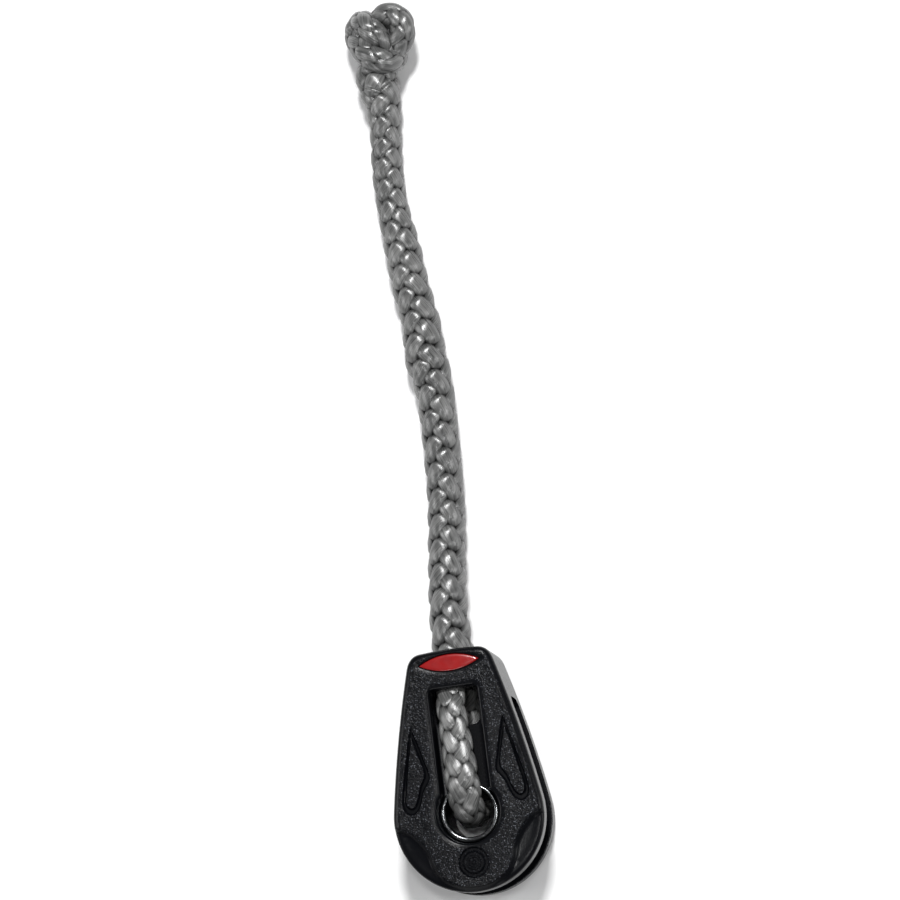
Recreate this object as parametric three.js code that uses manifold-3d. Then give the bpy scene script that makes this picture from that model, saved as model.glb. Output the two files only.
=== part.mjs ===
// Single ball bearing block with a tie-on strop. Millimetres, +Z up.
// The block lies on its rear cheek: Z runs along the sheave axis, +Y from the
// hub to the head, and the strop leaves the head and lies on the same surface.
import * as THREE from 'three';
import { mergeVertices } from 'three/addons/utils/BufferGeometryUtils.js';
import Module from 'manifold-3d';

const wasm = await Module();
wasm.setup();

// ---------------------------------------------------------------- dimensions
const HUB_Y = -6.7;            // hub axis, X = 0
const MID_Z = 6.8;             // mid-plane between the two cheeks
const HALF_T = 6.8;            // outer face of a cheek, from the mid-plane
const FACE_IN = 3.4;           // inner face of a cheek
const SPLIT = 0.05;            // half of the joint line between the two heads
const FLOOR = 4.2;             // floor of the strop channel
const EDGE_R = 0.8;            // rounding of a cheek's outer edge

const BOTTOM_R = 12.0;         // round bottom of a cheek
const BOTTOM_V = -0.6;         // its centre, from the hub axis
const HEAD_V = 26.0;           // top of the head, from the hub axis
const HEAD_IN_V = 17.6;        // underside of the head posts
const SLOT_HALF = 3.9;         // half width of the strop channel
const RECESS_R = 5.0;          // round recess about the hub ring
const SLOT_BEVEL = 0.45;       // bevel along the channel's mouth
const FLOOR_END_V = 13.6;      // where the strop dives between the cheeks
const BRIDGE_V = 19.8;         // lower edge of the head bridge
const PASSAGE_HALF = 3.55;     // half width of the strop passage in the head

const HUB_BORE_R = 3.84;
const HUB_OD_R = 4.35;
const HUB_LIP_R = 4.75;
const HUB_LIP_W = 4.72;
const HOLE_R = 4.45;           // hub hole in a cheek
const BOSS_R = 6.1;            // boss that keeps the balls in
const BOSS_W = 2.55;
const LIP_IN_R = 10.35;        // inner lip that shrouds the sheave's rim
const LIP_W = 2.9;

const SHEAVE_R = 10.0;
const SHEAVE_HALF = 3.1;
const SHEAVE_BORE_R = 6.4;
const GROOVE_R = 2.7;          // for 5 mm line
const GROOVE_ROOT_R = 7.6;
const RIB_R = 4.75;            // rib between the two rows of balls
const RIB_HALF = 0.4;

const BALL_R = 0.96;
const BALLS_PER_ROW = 16;
const BALL_PITCH_R = (HUB_OD_R + SHEAVE_BORE_R) / 2;
const ROW_W = 1.45;

const BADGE_V = 23.8;
const BADGE_LEN = 9.7;
const BADGE_H = 2.6;
const ROUNDEL_V = -8.0;
const ROUNDEL_R = 2.4;

const PEG_U = 4.9;             // alignment peg and socket in the head posts
const PEG_V = 21.6;
const PEG_R = 0.65;
const SOCKET_R = 0.8;


// ------------------------------------------------------------------ helpers
function clean(geometry) {
  let g = geometry.index ? geometry.toNonIndexed() : geometry.clone();
  for (const name of Object.keys(g.attributes)) if (name !== 'position') g.deleteAttribute(name);
  g = mergeVertices(g, 2e-4);
  const idx = g.index.array, keep = [];
  for (let i = 0; i < idx.length; i += 3) {
    const [a, b, c] = [idx[i], idx[i + 1], idx[i + 2]];
    if (a !== b && b !== c && a !== c) keep.push(a, b, c);
  }
  g.setIndex(keep);
  return g;
}

function solid(geometry) {
  const g = clean(geometry);
  return new wasm.Manifold(new wasm.Mesh({
    numProp: 3,
    vertProperties: Float32Array.from(g.attributes.position.array),
    triVerts: Uint32Array.from(g.index.array),
  }));
}

function geometryOf(manifold) {
  const m = manifold.getMesh();
  const n = m.numProp, count = m.vertProperties.length / n;
  const pos = new Float32Array(count * 3);
  for (let i = 0; i < count; i++) for (let k = 0; k < 3; k++) pos[3 * i + k] = m.vertProperties[n * i + k];
  const g = new THREE.BufferGeometry();
  g.setAttribute('position', new THREE.BufferAttribute(pos, 3));
  g.setIndex(Array.from(m.triVerts));
  return g;
}

// a straight prism of a shape in (u, v), from w0 to w1
function prism(shape, w0, w1, segments = 10) {
  const g = new THREE.ExtrudeGeometry(shape, { depth: w1 - w0, bevelEnabled: false, curveSegments: segments });
  g.translate(0, 0, w0);
  return solid(g);
}

// a prism of a polygon given in (v, w), along u from -half to half
function crossPrism(points, half) {
  const shape = new THREE.Shape(points.map(([v, w]) => new THREE.Vector2(v, w)));
  const g = new THREE.ExtrudeGeometry(shape, { depth: 2 * half, bevelEnabled: false });
  g.translate(0, 0, -half);
  // (v, w, u) -> (u, v, w)
  g.applyMatrix4(new THREE.Matrix4().set(0, 0, 1, 0, 1, 0, 0, 0, 0, 1, 0, 0, 0, 0, 0, 1));
  return solid(g);
}

// a ring of revolution about w from a closed profile of (r, w) points
function ring(profile, segments) {
  const pts = profile.map(([r, w]) => new THREE.Vector2(r, w));
  pts.push(pts[0].clone());
  const g = new THREE.LatheGeometry(pts, segments);
  g.rotateX(Math.PI / 2);      // the lathe turns about Y: lay its axis along Z
  const s = clean(g);
  // faces out, whichever way the profile was listed
  let vol = 0;
  const p = s.attributes.position, idx = s.index.array;
  const a = new THREE.Vector3(), b = new THREE.Vector3(), c = new THREE.Vector3();
  for (let i = 0; i < idx.length; i += 3) {
    a.fromBufferAttribute(p, idx[i]); b.fromBufferAttribute(p, idx[i + 1]); c.fromBufferAttribute(p, idx[i + 2]);
    vol += a.dot(b.clone().cross(c));
  }
  if (vol < 0) {
    const flipped = [];
    for (let i = 0; i < idx.length; i += 3) flipped.push(idx[i], idx[i + 2], idx[i + 1]);
    s.setIndex(flipped);
  }
  return s;
}

function circle(u, v, r) {
  const s = new THREE.Shape();
  s.absarc(u, v, r, 0, Math.PI * 2, false);
  return s;
}

// ------------------------------------------------------------------- shapes
// the cheek's outline: round bottom, convex sides that taper to the head
function outline() {
  const a = THREE.MathUtils.degToRad(9);
  const s = new THREE.Shape();
  const px = BOTTOM_R * Math.cos(a), pv = BOTTOM_V + BOTTOM_R * Math.sin(a);
  s.moveTo(px, pv);
  s.quadraticCurveTo(10.07, 12.53, 7.0, 23.6);
  s.quadraticCurveTo(6.36, 25.8, 4.4, 25.82);
  s.quadraticCurveTo(0, 2 * HEAD_V - 25.82, -4.4, 25.82);
  s.quadraticCurveTo(-6.36, 25.8, -7.0, 23.6);
  s.quadraticCurveTo(-10.07, 12.53, -px, pv);
  s.absarc(0, BOTTOM_V, BOTTOM_R, Math.PI - a, 2 * Math.PI + a, false);
  return s;
}

// straight channel that opens into a round recess at the hub
function keyhole(grow, top) {
  const r = RECESS_R + grow, h = SLOT_HALF + grow;
  const a = Math.acos(h / r);
  const s = new THREE.Shape();
  s.moveTo(h, top);
  s.lineTo(-h, top);
  s.lineTo(-h, r * Math.sin(a));
  s.absarc(0, 0, r, Math.PI - a, 2 * Math.PI + a, false);
  s.lineTo(h, top);
  return s;
}

// pointed lens for the head inlay
function lens(length, height) {
  const L = length / 2, H = height / 2;
  const R = (L * L + H * H) / (2 * H), a = Math.asin(L / R);
  const s = new THREE.Shape();
  s.absarc(0, BADGE_V + H - R, R, Math.PI / 2 - a, Math.PI / 2 + a, false);
  s.absarc(0, BADGE_V - H + R, R, 1.5 * Math.PI - a, 1.5 * Math.PI + a, false);
  return s;
}

// leaf-shaped relief on each side of the channel
const LEAF_OUT = [[7.45, 14.3], [6.5, 11.4], [5.84, 8.7], [5.3, 6.9], [5.25, 5.9], [5.7, 5.1], [6.5, 4.1], [7.1, 2.3],
  [7.7, 1.2], [8.6, 0.8], [9.5, 1.1], [9.95, 2.3], [9.7, 4.1], [8.8, 8.4], [8.05, 12.0]];
const LEAF_IN = [[7.5, 12.4], [6.7, 9.4], [6.05, 7.0], [6.1, 6.3], [6.9, 5.0], [7.6, 3.1], [8.05, 2.1], [8.6, 1.6],
  [9.15, 1.9], [9.35, 2.7], [9.05, 4.3], [8.2, 8.4], [7.8, 11.3]];
function polygon(points, side) {
  const list = side < 0 ? points.map(([u, v]) => [-u, v]).reverse() : points;
  return new THREE.Shape(list.map(([u, v]) => new THREE.Vector2(u, v)));
}

// the low shoulders at the bottom corners, outside the middle tongue
const TONGUE = [[11.95, -1.0], [9.5, -2.15], [7.6, -4.15], [6.5, -6.05], [6.1, -8.0], [5.0, -9.9], [3.2, -11.1], [1.6, -11.7]];
const SHOULDER_STEP = 0.7;
function shoulder(side) {
  const pts = [...TONGUE, [1.6, -14], [14, -14], [14, -1.0]];
  return polygon(pts, side);
}

// -------------------------------------------------------------------- cheek
function cheekSolid() {
  const full = new THREE.ExtrudeGeometry(outline(), {
    depth: HALF_T - EDGE_R + 2, bevelEnabled: true, bevelThickness: EDGE_R, bevelSize: EDGE_R,
    bevelOffset: -EDGE_R, bevelSegments: 2, curveSegments: 9,
  });
  full.translate(0, 0, -2);
  let c = solid(full);
  // cut at the joint line
  const far = 60;
  const square = new THREE.Shape([[-far, -far], [far, -far], [far, far], [-far, far]].map(([x, y]) => new THREE.Vector2(x, y)));
  c = c.subtract(prism(square, -10, SPLIT));
  // space for the sheave and the running line, rounded under the posts
  const r = 1.5;
  const cavity = [[-30, -1], [HEAD_IN_V, -1], [HEAD_IN_V, FACE_IN - r]];
  for (let i = 1; i <= 5; i++) {
    const t = (i / 5) * Math.PI / 2;
    cavity.push([HEAD_IN_V - r + r * Math.cos(t), FACE_IN - r + r * Math.sin(t)]);
  }
  cavity.push([-30, FACE_IN]);
  c = c.subtract(crossPrism(cavity, 30));
  // lip that shrouds the sheave's rim, over the lower part only
  const low = new THREE.Shape([[-far, -far], [far, -far], [far, 3.0], [-far, 3.0]].map(([x, y]) => new THREE.Vector2(x, y)));
  const lip = prism(outline(), LIP_W, FACE_IN + 0.2, 9)
    .subtract(prism(circle(0, 0, LIP_IN_R), LIP_W - 1, FACE_IN + 1, 20))
    .intersect(prism(low, LIP_W - 1, FACE_IN + 1));
  c = c.add(lip);
  // boss about the hub
  c = c.add(prism(circle(0, 0, BOSS_R), BOSS_W, FACE_IN + 0.2, 20));
  // strop channel and hub recess, with a bevelled mouth
  c = c.subtract(prism(keyhole(0, BRIDGE_V), FLOOR, HALF_T + 2, 10));
  const mouth = new THREE.ExtrudeGeometry(keyhole(0, BRIDGE_V), {
    depth: 1, bevelEnabled: true, bevelThickness: SLOT_BEVEL, bevelSize: SLOT_BEVEL, bevelOffset: 0,
    bevelSegments: 1, curveSegments: 10,
  });
  mouth.translate(0, 0, HALF_T);
  c = c.subtract(solid(mouth));
  // dive hole and the passage through the head, wide inside and close at the top
  const passage = [[FLOOR_END_V, -1], [HEAD_V + 2, -1], [HEAD_V + 2, 3.7], [HEAD_V, 3.7], [22.6, 4.45], [BRIDGE_V + 0.4, 5.45],
    [BRIDGE_V, 5.9], [BRIDGE_V, 7.8], [FLOOR_END_V + 0.35, 7.8], [FLOOR_END_V + 0.35, 4.0], [FLOOR_END_V, 3.5]];
  c = c.subtract(crossPrism(passage, PASSAGE_HALF));
  // hub hole
  c = c.subtract(prism(circle(0, 0, HOLE_R), 0, 6, 20));
  // inlay pocket
  c = c.subtract(prism(lens(BADGE_LEN + 0.24, BADGE_H + 0.2), 6.25, 8, 10));
  // leaf grooves, roundel and low shoulders
  for (const side of [1, -1]) {
    const groove = prism(polygon(LEAF_OUT, side), HALF_T - 0.35, HALF_T + 1)
      .subtract(prism(polygon(LEAF_IN, side), HALF_T - 1, HALF_T + 2));
    c = c.subtract(groove);
    c = c.subtract(prism(shoulder(side), HALF_T - SHOULDER_STEP, HALF_T + 1));
  }
  const roundel = prism(circle(0, ROUNDEL_V, ROUNDEL_R), HALF_T - 0.3, HALF_T + 1, 12)
    .subtract(prism(circle(0, ROUNDEL_V, ROUNDEL_R - 0.45), HALF_T - 1, HALF_T + 2, 12));
  c = c.subtract(roundel);
  // alignment peg on one post, its socket in the other
  c = c.add(prism(circle(PEG_U, PEG_V, PEG_R), -1.1, SPLIT + 0.2, 8));
  c = c.subtract(prism(circle(-PEG_U, PEG_V, SOCKET_R), -1, 1.4, 8));
  return c;
}

// ---------------------------------------------------------------- materials
const mat = (color, roughness, metalness = 0) => new THREE.MeshStandardMaterial({ color, roughness, metalness });
const BLACK = mat(0x17181b, 0.55), SHEAVE = mat(0x1c1d20, 0.4), STEEL = mat(0xc9ccd0, 0.2, 1.0);
const BALL = mat(0xe9e8e2, 0.3), RED = mat(0xc2141c, 0.2), ROPE = mat(0xa3a49f, 0.6);

function mesh(name, geometry, material) {
  const g = geometry.index ? geometry : clean(geometry);
  const out = g.toNonIndexed();
  out.computeVertexNormals();
  const m = new THREE.Mesh(out, material);
  m.name = name;
  return m;
}

const root = new THREE.Group();
const block = new THREE.Group();
block.position.set(0, HUB_Y, MID_Z);
root.add(block);

// ------------------------------------------------------------------- cheeks
const cheekGeometry = geometryOf(cheekSolid());
const cheekFront = mesh('cheek_front', cheekGeometry, BLACK);
block.add(cheekFront);
const rear = new THREE.Group();
rear.rotation.y = Math.PI;     // the rear half is the same moulding turned about the length
block.add(rear);
rear.add(mesh('cheek_rear', cheekGeometry, BLACK));

// ---------------------------------------------------------------------- hub
const hubHalf = [[HUB_OD_R, FLOOR + 0.05], [HUB_LIP_R - 0.05, FLOOR + 0.07], [HUB_LIP_R, 4.45], [HUB_LIP_R - 0.05, 4.6],
  [HUB_LIP_R - 0.25, HUB_LIP_W], [HUB_BORE_R + 0.26, HUB_LIP_W], [HUB_BORE_R + 0.06, 4.6], [HUB_BORE_R, 4.4]];
const hubProfile = [...hubHalf, ...hubHalf.map(([r, w]) => [r, -w]).reverse()];
block.add(mesh('hub_tube', ring(hubProfile, 36), STEEL));

// ------------------------------------------------------------------- sheave
const grooveCentre = GROOVE_ROOT_R + GROOVE_R;
const t0 = Math.acos((grooveCentre - SHEAVE_R) / GROOVE_R);
const sheaveProfile = [[SHEAVE_BORE_R, -SHEAVE_HALF], [SHEAVE_R - 0.15, -SHEAVE_HALF], [SHEAVE_R, -SHEAVE_HALF + 0.15]];
for (let i = 0; i <= 8; i++) {
  const t = -t0 + (2 * t0 * i) / 8;
  sheaveProfile.push([grooveCentre - GROOVE_R * Math.cos(t), GROOVE_R * Math.sin(t)]);
}
sheaveProfile.push([SHEAVE_R, SHEAVE_HALF - 0.15], [SHEAVE_R - 0.15, SHEAVE_HALF], [SHEAVE_BORE_R, SHEAVE_HALF],
  [SHEAVE_BORE_R, RIB_HALF], [RIB_R, RIB_HALF], [RIB_R, -RIB_HALF], [SHEAVE_BORE_R, -RIB_HALF]);
block.add(mesh('sheave', ring(sheaveProfile, 48), SHEAVE));

// -------------------------------------------------------------------- balls
const ballGeometry = clean(new THREE.SphereGeometry(BALL_R, 8, 6));
for (const [row, w, turn] of [['a', ROW_W, 0], ['b', -ROW_W, 0.5]]) {
  for (let i = 0; i < BALLS_PER_ROW; i++) {
    const t = ((i + turn) / BALLS_PER_ROW) * 2 * Math.PI;
    const b = mesh(`ball_${row}_${String(i + 1).padStart(2, '0')}`, ballGeometry, BALL);
    b.position.set(BALL_PITCH_R * Math.cos(t), BALL_PITCH_R * Math.sin(t), w);
    block.add(b);
  }
}

// ------------------------------------------------------------------- inlays
const inlay = new THREE.ExtrudeGeometry(lens(BADGE_LEN, BADGE_H), {
  depth: 0.24, bevelEnabled: true, bevelThickness: 0.12, bevelSize: 0.12, bevelOffset: -0.12, bevelSegments: 1, curveSegments: 10,
});
inlay.translate(0, 0, 6.42);
const inlayGeometry = clean(geometryOf(solid(inlay)));
block.add(mesh('badge_front', inlayGeometry, RED));
rear.add(mesh('badge_rear', inlayGeometry, RED));

// -------------------------------------------------------------------- strop
// A tube whose section changes along its path. at(s) gives its half size across X and
// in the plane of the bend, for s from 0 to 1 along the path.
const SEED = 0.25;
function rope(points, steps, sides, at) {
  const curve = new THREE.CatmullRomCurve3(points.map((p) => new THREE.Vector3(...p)), false, 'centripetal');
  curve.arcLengthDivisions = 1200;
  const section = new THREE.Shape();
  for (let i = 0; i < sides; i++) {
    const t = ((i + 0.5) / sides) * 2 * Math.PI;
    if (i) section.lineTo(SEED * Math.cos(t), SEED * Math.sin(t));
    else section.moveTo(SEED * Math.cos(t), SEED * Math.sin(t));
  }
  const g = clean(new THREE.ExtrudeGeometry(section, { steps, extrudePath: curve }));
  const centres = curve.getSpacedPoints(steps);
  const p = g.attributes.position, v = new THREE.Vector3();
  for (let i = 0; i < p.count; i++) {
    v.fromBufferAttribute(p, i);
    let best = 0, d = Infinity;
    for (let k = 0; k <= steps; k++) {
      const e = v.distanceToSquared(centres[k]);
      if (e < d) { d = e; best = k; }
    }
    const [a, b] = at(best / steps);
    const c = centres[best];
    p.setXYZ(i, c.x + (v.x - c.x) * a / SEED, c.y + (v.y - c.y) * b / SEED, c.z + (v.z - c.z) * b / SEED);
  }
  return { geometry: geometryOf(solid(g)), curve };
}
const between = (table, x) => {
  if (x <= table[0][0]) return table[0].slice(1);
  for (let i = 1; i < table.length; i++) {
    if (x <= table[i][0]) {
      const [p, q] = [table[i - 1], table[i]], t = (x - p[0]) / (q[0] - p[0]);
      return p.slice(1).map((a, k) => a + (q[k + 1] - a) * t);
    }
  }
  return table[table.length - 1].slice(1);
};

// the eye: from the throat in the head, down the front channel, through the hub
// and up the rear channel to the throat again; (v, w, u) from the hub axis and mid-plane
const EYE = [[25.8, 1.75, 0], [24.0, 2.1, 0], [22.0, 2.95, -0.25], [20.0, 4.05, -0.55], [18.2, 5.05, -0.7], [16.2, 5.75, -0.68],
  [13.0, 6.0, -0.5], [9.5, 6.3, -0.35], [6.8, 6.65, -0.25], [4.3, 6.75, -0.15], [2.3, 6.3, -0.1], [0.75, 5.2, 0], [-0.05, 3.5, 0],
  [-0.15, 1.5, 0], [-0.1, -1.0, 0], [0.2, -3.0, 0], [1.1, -4.6, 0], [2.5, -5.5, 0], [4.6, -5.78, 0], [7.5, -5.72, 0], [12.0, -5.55, 0],
  [16.0, -5.4, 0], [18.2, -4.9, 0], [20.0, -4.05, 0], [22.0, -2.95, 0], [24.0, -2.1, 0], [25.8, -1.75, 0]];
// the same table gives half sizes: share of the length, half width, half thickness
const EYE_SIZE = [[0.0, 2.8, 1.35], [0.12, 2.35, 1.2], [0.2, 2.4, 1.3], [0.34, 2.75, 1.45], [0.4, 2.75, 1.55], [0.46, 2.65, 1.8], [0.5, 2.6, 2.15],
  [0.545, 2.65, 1.8], [0.58, 3.0, 0.98], [0.66, 3.15, 0.9], [0.8, 2.9, 1.05], [0.88, 2.6, 1.25], [1.0, 2.8, 1.35]];
const eye = rope(EYE.map(([v, w, u]) => [u, HUB_Y + v, MID_Z + w]), 60, 10, (s) => between(EYE_SIZE, s));
root.add(mesh('strop_eye', eye.geometry, ROPE));

// the free strop, lying in a slack curve on the surface from the head to its stopper knot
const STROP = [[0.0, 19.6, 6.8], [-0.14, 22.06, 6.72], [-0.15, 24.84, 6.4], [-0.07, 28.08, 5.8], [0.1, 31.42, 5.05], [0.31, 34.77, 4.32],
  [0.62, 38.11, 3.74], [0.97, 41.45, 3.38], [1.27, 44.77, 3.24], [1.45, 48.1, 3.2], [1.58, 51.43, 3.18], [1.68, 54.76, 3.18], [1.73, 58.09, 3.18],
  [1.73, 61.42, 3.2], [1.55, 64.75, 3.3], [1.14, 67.37, 3.48], [0.9, 69.39, 3.56], [0.96, 71.61, 3.48], [0.82, 75.06, 3.26], [0.29, 78.5, 3.18],
  [-0.2, 82.05, 3.17], [-0.49, 85.49, 3.14], [-0.81, 88.94, 3.02], [-1.25, 92.49, 2.82], [-1.53, 96.04, 2.72], [-1.6, 99.49, 2.75],
  [-1.44, 102.73, 2.85], [-1.15, 105.87, 3.1], [-0.86, 109.1, 3.5], [-0.72, 112.3, 3.85], [-0.68, 114.2, 4.15]];
const STROP_SIZE = [[0.0, 3.3], [0.06, 3.15], [0.3, 3.02], [0.45, 3.12], [0.5, 3.32], [0.52, 3.5], [0.55, 3.4], [0.6, 3.1], [0.72, 3.08], [0.77, 2.8],
  [0.81, 2.6], [0.97, 2.58], [1.0, 2.7]];
const strop = rope(STROP, 44, 8, (s) => { const [r] = between(STROP_SIZE, s); return [r, r]; });
root.add(mesh('strop', strop.geometry, ROPE));

// the stopper knot, as one rounded body
const KNOT_C = [0.2, 122.2, 4.98], KNOT_HALF = [6.05, 7.25, 4.93];
const knot = new THREE.SphereGeometry(1, 16, 12);
knot.scale(...KNOT_HALF);
knot.translate(...KNOT_C);
root.add(mesh('strop_knot', clean(knot), ROPE));

export default root;
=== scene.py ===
import bpy
import bmesh
import math
import numpy as np
from mathutils import Matrix, Vector
from mathutils.geometry import delaunay_2d_cdt


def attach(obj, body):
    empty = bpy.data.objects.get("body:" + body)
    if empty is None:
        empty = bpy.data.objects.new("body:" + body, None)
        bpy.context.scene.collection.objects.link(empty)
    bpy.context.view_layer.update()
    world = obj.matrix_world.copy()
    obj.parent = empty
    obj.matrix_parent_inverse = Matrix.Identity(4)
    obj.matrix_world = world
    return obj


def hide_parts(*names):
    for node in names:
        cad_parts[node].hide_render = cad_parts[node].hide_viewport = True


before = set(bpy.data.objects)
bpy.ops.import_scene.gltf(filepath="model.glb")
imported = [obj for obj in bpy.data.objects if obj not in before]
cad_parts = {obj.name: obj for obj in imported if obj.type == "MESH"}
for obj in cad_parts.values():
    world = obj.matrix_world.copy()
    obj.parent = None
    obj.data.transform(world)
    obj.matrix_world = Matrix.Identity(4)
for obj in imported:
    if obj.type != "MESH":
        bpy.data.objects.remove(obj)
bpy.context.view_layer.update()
MM = 0.001

# --------------------------------------------------------------- shared sizes, mm
HUB_Y, MID_Z = -6.7, 6.8
HALF_T, FACE_IN, FLOOR, SPLIT = 6.8, 3.4, 4.2, 0.02
EDGE_R = 0.95
BOTTOM_R, BOTTOM_V, HEAD_V, HEAD_IN_V = 12.0, -0.6, 26.0, 17.6
SLOT_HALF, RECESS_R, BRIDGE_V, FLOOR_END_V, PASSAGE_HALF = 3.9, 5.0, 19.8, 13.6, 3.55
BADGE_V, BADGE_LEN, BADGE_H = 23.8, 9.7, 2.6
ROUNDEL_V, ROUNDEL_R = -8.0, 2.4

# ------------------------------------------------------------------------- camera
cam_data = bpy.data.cameras.new("view")
cam = bpy.data.objects.new("view", cam_data)
bpy.context.scene.collection.objects.link(cam)
cam_data.sensor_width = 36.0
cam_data.lens = 146.6644
cam_data.clip_start, cam_data.clip_end = 0.02, 20.0
cx = Vector((0.97744017, -0.12430997, -0.17075640))
cy = Vector((0.15212746, 0.97517975, 0.16087786))
cz = Vector((0.14651946, -0.18322522, 0.97209082))
cam.matrix_world = Matrix((
    (cx.x, cy.x, cz.x, 0.09039028), (cx.y, cy.y, cz.y, -0.05652273),
    (cx.z, cy.z, cz.z, 0.58325449), (0, 0, 0, 1)))
bpy.context.scene.camera = cam


# ------------------------------------------------------------------------- helpers
def make_object(name, verts, faces, smooth=True, uvs=None, attrs=None):
    """A mesh object from arrays in mm. uvs is one pair per loop."""
    me = bpy.data.meshes.new(name)
    me.from_pydata((np.asarray(verts, dtype=float) * MM).tolist(), [], [list(map(int, f)) for f in faces])
    me.validate()
    if smooth:
        me.polygons.foreach_set("use_smooth", [True] * len(me.polygons))
    if uvs is not None:
        layer = me.uv_layers.new(name="UVMap")
        layer.data.foreach_set("uv", np.asarray(uvs, dtype=np.float32).ravel())
    for key, values in (attrs or {}).items():
        a = me.attributes.new(key, "FLOAT", "POINT")
        a.data.foreach_set("value", np.asarray(values, dtype=np.float32))
    me.update()
    o = bpy.data.objects.new(name, me)
    bpy.context.scene.collection.objects.link(o)
    return o


def catmull(points, per=24):
    """A centripetal Catmull-Rom line through the points, and the points of it."""
    p = np.asarray(points, float)
    p = np.vstack([2 * p[0] - p[1], p, 2 * p[-1] - p[-2]])
    out = []
    for i in range(1, len(p) - 2):
        p0, p1, p2, p3 = p[i - 1:i + 3]
        t0 = 0.0
        t1 = t0 + max(np.linalg.norm(p1 - p0), 1e-9) ** 0.5
        t2 = t1 + max(np.linalg.norm(p2 - p1), 1e-9) ** 0.5
        t3 = t2 + max(np.linalg.norm(p3 - p2), 1e-9) ** 0.5
        t = np.linspace(t1, t2, per, endpoint=False)[:, None]
        a1 = (t1 - t) / (t1 - t0) * p0 + (t - t0) / (t1 - t0) * p1
        a2 = (t2 - t) / (t2 - t1) * p1 + (t - t1) / (t2 - t1) * p2
        a3 = (t3 - t) / (t3 - t2) * p2 + (t - t2) / (t3 - t2) * p3
        b1 = (t2 - t) / (t2 - t0) * a1 + (t - t0) / (t2 - t0) * a2
        b2 = (t3 - t) / (t3 - t1) * a2 + (t - t1) / (t3 - t1) * a3
        out.append((t2 - t) / (t2 - t1) * b1 + (t - t1) / (t2 - t1) * b2)
    out.append(p[-2][None, :])
    return np.vstack(out)


def smooth_line(p, rounds):
    p = p.copy()
    for _ in range(rounds):
        p[1:-1] = 0.25 * p[:-2] + 0.5 * p[1:-1] + 0.25 * p[2:]
    return p


class Path:
    """A line resampled at even steps, with a frame that doesn't twist."""

    def __init__(self, dense, step=0.2, side=None, keep_side=False):
        d = np.linalg.norm(np.diff(dense, axis=0), axis=1)
        s = np.concatenate([[0], np.cumsum(d)])
        self.length = float(s[-1])
        n = max(8, int(round(self.length / step)))
        self.s = np.linspace(0, self.length, n + 1)
        self.c = np.stack([np.interp(self.s, s, dense[:, k]) for k in range(3)], -1)
        self.c = smooth_line(self.c, 3)
        t = np.gradient(self.c, axis=0)
        self.t = t / np.linalg.norm(t, axis=1)[:, None]
        u = np.array(side if side is not None else (1.0, 0, 0), float)
        us = []
        for k in range(n + 1):
            if keep_side:
                u = np.array(side, float)
            u = u - np.dot(u, self.t[k]) * self.t[k]
            u = u / np.linalg.norm(u)
            us.append(u)
        self.u = np.array(us)
        self.v = np.cross(self.t, self.u)

    def at(self, S):
        """Centre and frame at each length in S, straight on past the ends."""
        Sc = np.clip(S, 0, self.length)
        pick = lambda a: np.stack([np.interp(Sc, self.s, a[:, k]) for k in range(3)], -1)
        c, u, v, t = pick(self.c), pick(self.u), pick(self.v), pick(self.t)
        return c + t * (S - Sc)[..., None], u, v


def table(rows, x, col):
    rows = np.asarray(rows, float)
    return np.interp(x, rows[:, 0], rows[:, col])


# ------------------------------------------------------------------- the braid
BRAID_R0, BRAID_A, BRAID_T, BRAID_W = 1.66, 0.44, 0.46, 1.36
BRAID_R = BRAID_R0 + BRAID_A + BRAID_T - 0.03


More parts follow.
